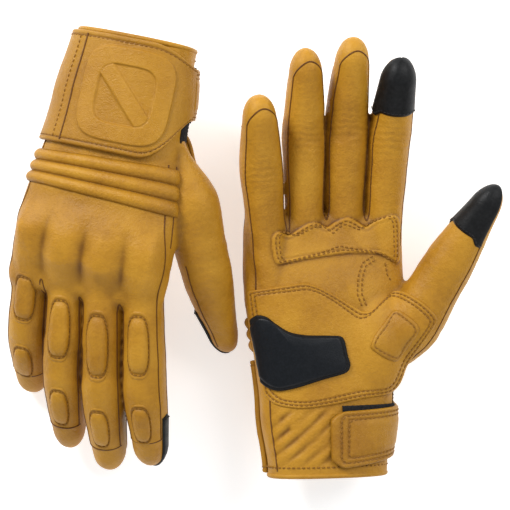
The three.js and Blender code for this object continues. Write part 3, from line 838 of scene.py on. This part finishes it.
class Palm:
    """The skin seen from the palm as a height map: the lowest point of each cell of a square
    grid, filled and softened. It gives the height and the normal at any place."""

    STEP = 1.5

    def __init__(self, points):
        low = points[points[:, 2] < 2]
        self.x0, self.y0, self.n = -78.0, -48.0, (96, 130)
        i = ((low[:, 0] - self.x0) / self.STEP).round().astype(int)
        j = ((low[:, 1] - self.y0) / self.STEP).round().astype(int)
        ok = (i >= 0) & (i < self.n[0]) & (j >= 0) & (j < self.n[1])
        z = np.full(self.n, 9.0)
        np.minimum.at(z, (i[ok], j[ok]), low[ok, 2])
        for _ in range(4):
            empty = z > 8
            near = np.minimum.reduce([np.roll(z, k, a) for a in (0, 1) for k in (-1, 1)])
            z = np.where(empty & (near < 8), near, z)
        for _ in range(5):
            z = (z * 2 + sum(np.roll(z, k, a) for a in (0, 1) for k in (-1, 1))) / 6
        self.z = z

    def at(self, x, y):
        i = np.clip((x - self.x0) / self.STEP, 0, self.n[0] - 1.01)
        j = np.clip((y - self.y0) / self.STEP, 0, self.n[1] - 1.01)
        a, b = i.astype(int), j.astype(int)
        f, g = i - a, j - b
        z = ((self.z[a, b] * (1 - f) + self.z[a + 1, b] * f) * (1 - g)
             + (self.z[a, b + 1] * (1 - f) + self.z[a + 1, b + 1] * f) * g)
        return np.stack([x, y, z], -1)

    def normal(self, x, y):
        d = 5.0
        return -unit(np.cross(self.at(x + d, y) - self.at(x - d, y), self.at(x, y + d) - self.at(x, y - d)))


def palm_piece(palm, corners, height, crown, lift=0.0, rows=3, rim=1.6, stitch=(), centre=None):
    """A piece sewn on the palm. Its rings shrink from the outline to a centre, and it stands on
    the palm's height map, kept inside the hand's outer side: full height inside, a quarter circle at the rim, and a crown that
    follows 1 - r^2. Stitch rows run inside the rim, each in a shallow groove."""
    edge = outline(corners)
    edge[:, 0] = np.minimum(edge[:, 0], hand_point(0.0, edge[:, 1], -0.9)[:, 0])
    middle = edge.mean(0) if centre is None else np.array(centre)
    r = np.concatenate([np.linspace(0.02, 0.8, 26), np.linspace(0.82, 1.0, 34)])[:, None, None]
    flat = middle + r * (edge[None] - middle)
    reach = np.linalg.norm(edge - middle, axis=1)[None]
    inside = (1 - r[..., 0]) * reach
    fall = np.sqrt(1 - (1 - np.clip(inside / rim, 0, 1)) ** 2)
    rise = lift + height * fall + crown * (1 - r[..., 0] ** 2)
    # painted shade: darker along the rim where the piece meets the palm, paler on the raised part inside it
    shade = 0.52 + 0.1 * fall - 0.14 * (1 - ease(inside, 0, 0.8))
    for distance in stitch:
        groove = np.exp(-((inside - distance) / 0.7) ** 2)
        rise = rise - 0.32 * groove
        # painted shade in each stitch groove
        shade = shade - 0.28 * groove
    base, normal = palm.at(flat[..., 0], flat[..., 1]), palm.normal(flat[..., 0], flat[..., 1])
    top = base + normal * rise[..., None]
    back = slice(None, None, -5)
    under = base[back] - normal[back] * 1.4
    rings = np.concatenate([top, under])
    # painted shade on the underside rings
    shade = np.concatenate([shade.ravel(), np.full(under.shape[0] * len(edge), 0.25), [0.6, 0.3]])
    threads = []
    for distance in stitch:
        inner = middle + (1 - distance / reach[0])[:, None] * (edge - middle)
        inner = np.concatenate([inner, inner[:1]])
        n = palm.normal(inner[:, 0], inner[:, 1])
        row = palm.at(inner[:, 0], inner[:, 1]) + n * (lift + height + crown * 0.12 - 0.18)
        threads.append(stitches(row, n))
    return closed_tube(rings), shade, threads


def palm_row(palm, corners, lift=0.15, shifts=(0.0,)):
    """Stitch rows along an open line on the palm, side by side at the given shifts."""
    p = np.array(corners, float)
    t = np.linspace(0, len(p) - 1, 120)
    line = np.stack([np.interp(t, np.arange(len(p)), p[:, k]) for k in (0, 1)], -1)
    for _ in range(12):
        line[1:-1] = (line[:-2] + line[2:] + line[1:-1]) / 3
    side = np.gradient(line, axis=0)[:, ::-1] * [1, -1]
    side /= np.linalg.norm(side, axis=1, keepdims=True)
    rows = []
    for shift in shifts:
        q = line + side * shift
        n = palm.normal(q[:, 0], q[:, 1])
        rows.append(stitches(palm.at(q[:, 0], q[:, 1]) + n * lift, n))
    return rows


SLIDER_OUTLINE = [(47, 42), (45.5, 51), (41.5, 54.8), (36.5, 54), (31, 49.5), (24, 45), (15, 43), (3, 42.5),
                  (-5.5, 41.8), (-8, 38.5), (-9.5, 31), (-11, 25), (-8, 20.5), (5, 17), (20, 12.5), (30, 10.8),
                  (36.5, 13.5), (42.5, 20.5), (46, 31)]
HEEL_OUTLINE = [(48, 61), (46.5, 68), (38, 70), (27, 71.5), (16, 73), (8, 71), (-2, 66), (-12, 60), (-19, 56),
                (-25, 56.5), (-33, 63), (-39, 67), (-45, 66), (-54, 59.5), (-61, 52), (-60.5, 47.5), (-54, 37), (-47, 25),
                (-41, 12), (-35, 7.5), (-17, 5), (1, 2), (18, 0.5), (32, 3), (39, 10), (44, 22), (48, 36), (49, 50)]
PAD_OUTLINE = [(-22.5, 36), (-25.2, 42.5), (-31, 49.8), (-36.5, 55.3), (-40.5, 55.8), (-46, 52), (-50.2, 47.4),
               (-50.4, 43.5), (-46.2, 36.8), (-40.2, 28.6), (-36.5, 26.6), (-30, 29), (-24, 33.2)]
GRIP_OUTLINE = [(33, 100), (29, 103), (22.5, 101), (17, 104), (11, 107.5), (5, 107.5), (0, 105), (-5, 108),
                (-12, 110.5), (-18, 108), (-23, 105), (-28, 108), (-35, 111), (-41, 111), (-43.5, 107), (-44, 98),
                (-44, 86), (-41.5, 83.5), (-36, 87), (-30, 89), (-11, 89.5), (13, 86.6), (28, 84), (31.5, 86), (33, 93)]


def flap_height(x, y):
    """A plain raised mark on the wrist flap: a rounded square ring with a slanted bar across it."""
    u, v = x + 6.0, y + 5.0
    square = (np.abs(u / 24.5) ** 4 + np.abs(v / 27.5) ** 4) ** 0.25
    ring = ease(square, 0.6, 0.635) * (1 - ease(square, 0.96, 1.0))
    bar = (1 - ease(np.abs(u * 0.75 + v * 0.66), 4.2, 5.0)) * (1 - ease(square, 0.6, 0.63))
    return np.maximum(ring, bar)


def round_corner(v):
    """How far, in degrees, the strap's end draws back near its corners: a quarter circle."""
    c = np.clip((np.abs(2 * v - 1) - 0.6) / 0.4, 0, 1)
    return 10.5 * (1 - np.sqrt(1 - c ** 2 * 0.999))


def make_glove(glove):
    """All pieces of one glove; most ride on a body of the frame, while the finger, thumb and strap leather are left
    unattached.
    """
    glove["frame"] = glove_frame(glove)
    name = glove["name"]
    digits = make_digits(glove)
    points, quads, edges = skin_of(glove, digits)
    points, normals, shade = dress(glove, points, quads, edges)
    middles = points[quads].mean(1)
    keep = middles[:, 1] > -CUFF_LENGTH
    quads, middles = quads[keep], middles[keep]
    owner = part_of_skin(glove, middles)
    palm = Palm(points)

    def skin_piece(key, extra, title):
        mesh = cut_skin(points, quads, normals, shade, owner, key)
        parts = [((mesh[0], mesh[1]), TAN_N, mesh[3])] + extra
        return make_piece(f"{name}_{title}", glove, parts, MATERIALS, mesh[2])

    def to_world(p):
        return Vector(carried(glove["frame"], np.asarray(p, float)) / 1000)

    hand_body = name + "_hand"
    def laid_seam(path, radius=0.5):
        return seam(cling(path, points, normals, -0.05), radius)

    def laid_digit(digit, degrees, start, end, radius=0.5):
        s = np.linspace(start, end, int((end - start) / 1.5) + 2)
        return laid_seam(digit.surface(degrees + 0 * s, s), radius)

    _, _, grip_rows = palm_piece(palm, GRIP_OUTLINE, 0, 0, lift=0.25, stitch=(2.3, 4.6), centre=(-6, 99))
    thumb_digit = digits["thumb"]
    # Hand
    seams = [laid_digit(thumb_digit, 226, -10, THUMB_BASE - CUT_BEFORE_HINGE)]
    for degrees, low, high, end in ((150, 28, 97, ("index", 150)), (164, 28, 74, None), (24, 28, 93, ("little", 30)),
                                    (331, -36, 93, ("little", 328))):
        y = np.linspace(low, high, int((high - low) / 1.5))
        path = hand_point(degrees + 0 * y, y, 0)
        if end:
            path += (digits[end[0]].surface(end[1], -CUT_BEFORE_HINGE) - path[-1]) * ease(y, high - 35, high)[:, None]
        seams.append(laid_seam(path))
    seams += [(row, THREAD_N, 0.5) for row in palm_row(palm, [(-27, 88), (-20, 84), (-17, 76), (-16, 66), (-19, 58)],
                                                        shifts=(0.0, 2.6))]
    seams += [(row, THREAD_N, 0.5) for row in palm_row(palm, [(-34, 84), (-35, 77), (-38, 72)])]
    seams += [(owned(glove, row, "hand"), THREAD_N, 0.5) for row in grip_rows]
    hand = skin_piece("hand", seams, "hand_leather")
    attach(hand, hand_body)
    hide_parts(*[f"{name}_{k}" for k in ("back_panel", "palm_panel", "cuff_sleeve", "knuckle_guard",
                                            "grip_overlay", "thumb_base_sleeve")])

    # Fingers
    for finger_name, finger in FINGERS.items():
        digit = digits[finger_name]
        straight, knuckle, middle = finger_frames(glove, finger_name)
        near_body, far_body = f"{name}_{finger_name}_near", f"{name}_{finger_name}_far"
        split, total = finger["near"] / 2, finger["near"] + finger["far"]
        key_root, key_outer = finger_name + "_root", finger_name + "_outer"
        extra_root = [(owned(glove, row, key_root), THREAD_N, 0.5) for row in grip_rows]
        extra_outer = [(owned(glove, row, key_outer), THREAD_N, 0.5) for row in grip_rows]
        for degrees, end in ((30, total - 21), (150, total - 21), (200, total - 15), (328, total - 15)):
            border = (finger_name == "index" and degrees in (150, 200)) or (finger_name == "little" and degrees in (30, 328))
            extra_root.append(laid_digit(digit, degrees, -CUT_BEFORE_HINGE if border else 11, split))
            extra_outer.append(laid_digit(digit, degrees, split, end))
        extra_root += [laid_seam(path) for path in crotch_loops(digits, finger_name)]
        extra_outer.append(tip_seam(digit, total - 21, 24, 156))
        if finger_name != "index":
            t = np.linspace(0, 1, 40)
            extra_outer.append(laid_seam(digit.surface(mix(328, 200, t), total - 15 + 10 * np.sin(np.pi * t) ** 0.7)))
        root = skin_piece(finger_name + "_root", extra_root, finger_name + "_root_leather")
        outer = skin_piece(finger_name + "_outer", extra_outer, finger_name + "_leather")
        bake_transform(root)
        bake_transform(outer)
        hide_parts(f"{name}_{finger_name}_near_sleeve")
        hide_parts(f"{name}_{finger_name}_far_sleeve")
        pads = [("near_pad", near_body, finger["near"] * 0.5 - 1, finger["near"] * 0.37, 37, 2.7),
                ("far_pad", far_body, finger["near"] + finger["far"] * 0.33, finger["far"] * 0.28, 31, 2.3)]
        for pad_name, body, middle_s, half_length, half_degrees, height in pads:
            mesh, pad_shade, thread = oval_pad(digit, (points, normals), middle_s, half_length, half_degrees, height)
            pad = make_piece(f"{name}_{finger_name}_{pad_name}_leather", glove,
                             [(mesh, TAN_N, pad_shade), (thread, THREAD_N, 0.5)], MATERIALS)
            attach(pad, body)
            if f"{name}_{finger_name}_{pad_name}" in frame["nodes"]:
                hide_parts(f"{name}_{finger_name}_{pad_name}")
    # Thumb
    digit = digits["thumb"]
    total = THUMB_BASE + THUMB_OUTER
    extra = [laid_digit(digit, degrees, start, total - 9)
             for degrees, start in ((62, THUMB_BASE + 4), (226, THUMB_BASE - CUT_BEFORE_HINGE))]
    _, straight, _ = thumb_frames(glove)
    thumb = skin_piece("thumb_outer", extra, "thumb_leather")
    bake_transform(thumb)
    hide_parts(name + "_thumb_sleeve")
    for key, body, first, last in (("index", name + "_index_far", 156, 368), ("thumb", name + "_thumb", 226, 398)):
        mesh, thread = touch_cap(digits[key], 31, first, last)
        cap = make_piece(f"{name}_{key}_touch_leather", glove, [(mesh, BLACK_N, 0.5), (thread, DARK_N, 0.5)],
                         MATERIALS)
        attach(cap, body)
        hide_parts(f"{name}_{key}_touch_patch")

    # Ribs over the back of the hand
    u, v = np.linspace(0, 1, 170)[:, None], np.linspace(0, 1, 90)[None, :]
    degrees = mix(2, 178, u)
    wide = mix(10.0, 13.5, ease(degrees, 30, 160))
    y = 43 + mix(-wide, wide, v)
    base = hand_point(degrees, y, 0)
    n = unit(hand_point(degrees, y, 1.0) - base)
    ridge = np.abs(np.sin(np.pi * 3 * v)) ** 0.62
    fall = rim_fall(u, v, 0.04, 0.03)
    rise = (0.5 + 2.7 * ridge * ease(np.minimum(degrees, 180 - degrees), 2, 22)) * fall
    crease = 0.06 * ramble(base, 21, 9)
    # painted shade in the valleys between the ribs and at their rim, paler on the ridges, and painted shade on the
    # underside
    ribs = make_piece(name + "_rib_leather", glove,
                      [(slab(base + n * (rise + crease)[..., None], base - n * 1.2), TAN_N,
                        np.concatenate([(0.22 + 0.4 * ridge * fall).ravel(), np.full(u.size * v.size, 0.2)]))],
                      MATERIALS)
    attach(ribs, hand_body)
    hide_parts(name + "_stretch_ribs")

    # Wrist flap with its raised mark
    u, v = np.linspace(0, 1, 230)[:, None], np.linspace(0, 1, 180)[None, :]
    degrees = mix(14, 180, u)
    round_side = ease(degrees, 112, 178)
    y = mix(mix(-38.0, -29.0, round_side), mix(28.0, 1.0, round_side), v)
    base = hand_point(degrees, y, 0)
    n = unit(hand_point(degrees, y, 1.0) - base)
    fall = rim_fall(u, v, 0.012, 0.018)
    mark = flap_height(base[..., 0], base[..., 1])
    sewn = np.exp(-((np.minimum(v, 1 - v) - 0.045) / 0.009) ** 2)
    rise = 1.6 + 1.9 * fall + 1.15 * mark + 0.25 * ramble(base, glove["seed"] + 9, 30) - 0.3 * sewn
    # painted light: paler on the raised mark, painted shade on its slopes, in the stitch grooves and on the underside;
    # the seam across it carries painted shade too
    flap_shade = 0.52 + 0.1 * fall * mark - 0.3 * sewn - 0.12 * np.exp(-((mark - 0.5) / 0.3) ** 2) * (mark > 0.02)
    parts = [(slab(base + n * rise[..., None], base + n * 0.3), SMOOTH_N,
              np.concatenate([flap_shade.ravel(), np.full(u.size * v.size, 0.3)]))]
    for column in (9, -10):
        parts.append((stitches(base[:, column] + n[:, column] * 3.28, n[:, column]), THREAD_N, 0.5))
    parts.append(seam(base[59, 5:-5] + n[59, 5:-5] * 3.45, 0.6))
    parts.append((stitches(base[46, 8:-8] + n[46, 8:-8] * 3.6, n[46, 8:-8]), THREAD_N, 0.5))
    flap = make_piece(name + "_flap_leather", glove, parts, MATERIALS)
    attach(flap, hand_body)
    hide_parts(name + "_cuff_flap")

    # Strap tab on the palm side, with rounded corners and two stitch rows round it
    u, v = np.linspace(0, 1, 150)[:, None], np.linspace(0, 1, 90)[None, :]
    degrees = mix(176, 271 - round_corner(v), u)
    y = mix(mix(-28, -34.5, u), mix(0.5, -1.5, u), v)
    base = hand_point(degrees, y, 0)
    n = unit(hand_point(degrees, y, 1.0) - base)
    fall = rim_fall(u, v, 0.02, 0.03)
    free = ease(u, 0.12, 0.3)
    near_rim = np.minimum(np.minimum(v, 1 - v) * 30, (1 - u) * 44)
    sewn = np.exp(-((near_rim - 2.4) / 0.55) ** 2) + np.exp(-((near_rim - 4.8) / 0.55) ** 2) * free
    rise = 1.6 + 2.0 * fall + 0.5 * ease(near_rim, 5, 9) - 0.28 * sewn
    # painted shade in the stitch grooves and on the underside
    parts = [(slab(base + n * rise[..., None], base + n * 0.9), SMOOTH_N,
              np.concatenate([(0.54 - 0.25 * sewn + 0 * rise).ravel(), np.full(u.size * v.size, 0.3)]))]
    for inset in (2.4, 4.8):
        row_v = inset / 30
        t = np.linspace(0, 1, 50)
        cu = 1 - inset / 44
        uu = np.concatenate([t * (cu - 0.06), cu - 0.06 * (1 - np.sin(t * np.pi / 2)), np.full(40, cu),
                             cu - 0.06 * (1 - np.cos(t * np.pi / 2)), (1 - t) * (cu - 0.06)])
        vv = np.concatenate([row_v + 0 * t, row_v + 0.09 * (1 - np.cos(t * np.pi / 2)),
                             np.linspace(row_v + 0.09, 1 - row_v - 0.09, 40),
                             1 - row_v - 0.09 * (1 - np.sin(t * np.pi / 2)), 1 - row_v + 0 * t])
        dd = mix(176, 271 - round_corner(vv), uu)
        yy = mix(mix(-28, -34.5, uu), mix(0.5, -1.5, uu), vv)
        line = hand_point(dd, yy, 0)
        normal = unit(hand_point(dd, yy, 1.0) - line)
        parts.append((stitches(line + normal * 3.42, normal), THREAD_N, 0.5))
    strap = make_piece(name + "_strap_leather", glove, parts, MATERIALS)
    to_world(hand_point(178.0, -14.0, 2.5))
    to_world(hand_point(196.0, -14.0, 2.5))
    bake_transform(strap)
    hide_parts(name + "_strap_tab")

    # Loop patch under the strap, seen as a dark line above it
    u, v = np.linspace(0, 1, 60)[:, None], np.linspace(0, 1, 30)[None, :]
    degrees, y = mix(184, 264, u), mix(-30, 1.6, v) + 0 * u
    base = hand_point(degrees, y, 0)
    n = unit(hand_point(degrees, y, 1.0) - base)
    loop = make_piece(name + "_loop_patch", glove, [(slab(base + n * 1.5, base - n * 0.8), LINING_N, 0.5)], MATERIALS)
    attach(loop, hand_body)

    # Cuff: elastic gusset, rolled hem, hem stitches and lining
    turn = np.linspace(0, 360, 220)
    rim = hand_point(turn, -CUFF_LENGTH + 0.2 + 0 * turn, -0.9)
    hem = closed_ring(rim, 1.55)
    row_y = -CUFF_LENGTH + 5.2
    arc = np.linspace(186, 372, 150)
    row = hand_point(arc, row_y + 0 * arc, 0.15)
    row_n = unit(hand_point(arc, row_y + 0 * arc, 1.0) - row)
    u, v = np.linspace(0, 1, 30)[:, None], np.linspace(0, 1, 60)[None, :]
    base = hand_point(mix(166, 193, u), mix(-27, 31, v), 0)
    n = unit(hand_point(mix(166, 193, u), mix(-27, 31, v), 1.0) - base)
    gusset = slab(base + n * (0.5 + 0.35 * np.sin(v * 90) ** 2 * rim_fall(u, v, 0.1, 0.05))[..., None], base - n * 0.8)
    depth = np.concatenate([[-2.2], np.full(30, -2.6), -2.6 - 14 * np.linspace(0, 1, 8) ** 2])[:, None]
    inner_y = np.concatenate([np.linspace(-CUFF_LENGTH + 0.3, 30, 31), np.linspace(32, 44, 8)])[:, None]
    lining = closed_tube(hand_point(turn[None, :-1], inner_y, depth))
    lining = (lining[0], lining[1][:, ::-1])
    lining = (lining[0], lining[1][~np.any(lining[1] == len(lining[0]) - 2, axis=1)])
    cuff = make_piece(name + "_cuff_trim", glove,
                      [(hem, TAN_N, 0.55), (stitches(row, row_n), THREAD_N, 0.5), (gusset, LINING_N, 0.5),
                       (lining, LINING_N, 0.5)], MATERIALS)
    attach(cuff, hand_body)

    # Palm pieces
    heel, heel_shade, rows = palm_piece(palm, HEEL_OUTLINE, 1.15, 0.25, stitch=(2.2, 4.6), centre=(-8, 36))
    heel = make_piece(name + "_heel_leather", glove, [(heel, TAN_N, heel_shade)] + [(k, THREAD_N, 0.5) for k in rows],
                      MATERIALS)
    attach(heel, hand_body)
    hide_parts(name + "_heel_overlay")
    border, border_shade, _ = palm_piece(palm, SLIDER_OUTLINE, 2.0, 0.2, lift=0.9, rim=1.2)
    inner = (np.array(SLIDER_OUTLINE) - [18, 34]) * 0.93 + [18, 34]
    face, face_shade, _ = palm_piece(palm, inner, 1.4, 1.1, lift=2.3, rim=2.2)
    slider = make_piece(name + "_slider_shell", glove, [(border, BLACK_N, border_shade), (face, SLIDER_N, face_shade)],
                        MATERIALS)
    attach(slider, hand_body)
    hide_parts(name + "_palm_slider")
    pad, pad_shade, rows = palm_piece(palm, PAD_OUTLINE, 1.7, 1.3, lift=0.9, rim=2.2, stitch=(2.4,))
    pad = make_piece(name + "_thumb_pad_leather", glove, [(pad, SMOOTH_N, pad_shade)] + [(k, THREAD_N, 0.5) for k in rows],
                     MATERIALS)
    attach(pad, hand_body)
    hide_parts(name + "_thumb_base_pad")


def closed_ring(path, radius, around=10):
    """A rolled edge: a round section carried along a closed path, joined end to start."""
    path = path[:-1]
    ahead = unit(np.roll(path, -1, 0) - np.roll(path, 1, 0))
    side = np.tile([0.0, 1.0, 0.0], (len(path), 1))
    out = unit(np.cross(ahead, side))
    turn = np.linspace(0, 2 * np.pi, around, endpoint=False)
    rings = path[:, None] + radius * (np.cos(turn)[None, :, None] * side[:, None]
                                      + np.sin(turn)[None, :, None] * out[:, None])
    rings = np.concatenate([rings, rings[:1]])
    quads = grid_faces(len(rings), around, True) % (len(path) * around)
    return outwards(rings[:-1].reshape(-1, 3), quads)


for glove_ in GLOVES:
    make_glove(glove_)


# ---- Floor, light and camera ----------------------------------------------------------------
def make_floor():
    """A pale plane under the gloves' lowest point, with a faint mottle."""
    mesh = bpy.data.meshes.new("floor")
    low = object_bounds()[0][2]
    mesh.from_pydata([(-3, -3, low), (3, -3, low), (3, 3, low), (-3, 3, low)], [], [(0, 1, 2, 3)])
    floor = bpy.data.objects.new("floor", mesh)
    bpy.context.collection.objects.link(floor)
    r = Recipe("pale_floor")
    r.link(r.ramp(r.noise(3, 2), (0.3, (0.86, 0.86, 0.86)), (0.7, (0.9, 0.9, 0.9))), r.shader.inputs["Base Color"])
    r.shader.inputs["Roughness"].default_value = 0.9
    r.shader.inputs["Emission Color"].default_value = (1, 1, 1, 1)
    r.shader.inputs["Emission Strength"].default_value = 0.52
    mesh.materials.append(r.material)


def make_light(name, at, size, energy):
    light = bpy.data.lights.new(name, "AREA")
    light.size, light.energy = size, energy
    lamp = bpy.data.objects.new(name, light)
    lamp.location = at
    lamp.rotation_mode = "QUATERNION"
    lamp.rotation_quaternion = (Vector((0, 0, 0.03)) - Vector(at)).to_track_quat("-Z", "Y")
    bpy.context.collection.objects.link(lamp)


make_floor()
make_light("key_light", (-0.85, 0.95, 0.9), 0.45, 18.5)
make_light("fill_light", (0.8, 0.6, 1.0), 0.8, 9)
make_light("low_light", (0.1, -1.1, 0.7), 0.9, 2.5)
world = bpy.data.worlds.new("studio")
world.use_nodes = True
world.node_tree.nodes["Background"].inputs["Color"].default_value = (1, 1, 1, 1)
world.node_tree.nodes["Background"].inputs["Strength"].default_value = 0.42
bpy.context.scene.world = world
bpy.context.scene.view_settings.view_transform = "Standard"

camera = bpy.data.objects.new("camera", bpy.data.cameras.new("camera"))
camera.data.sensor_width = 36
camera.location = (-0.0029, -0.0017, 1.4)
camera.data.lens = 36 * (1.4 - 0.04) / 0.2958
bpy.context.collection.objects.link(camera)
bpy.context.scene.camera = camera
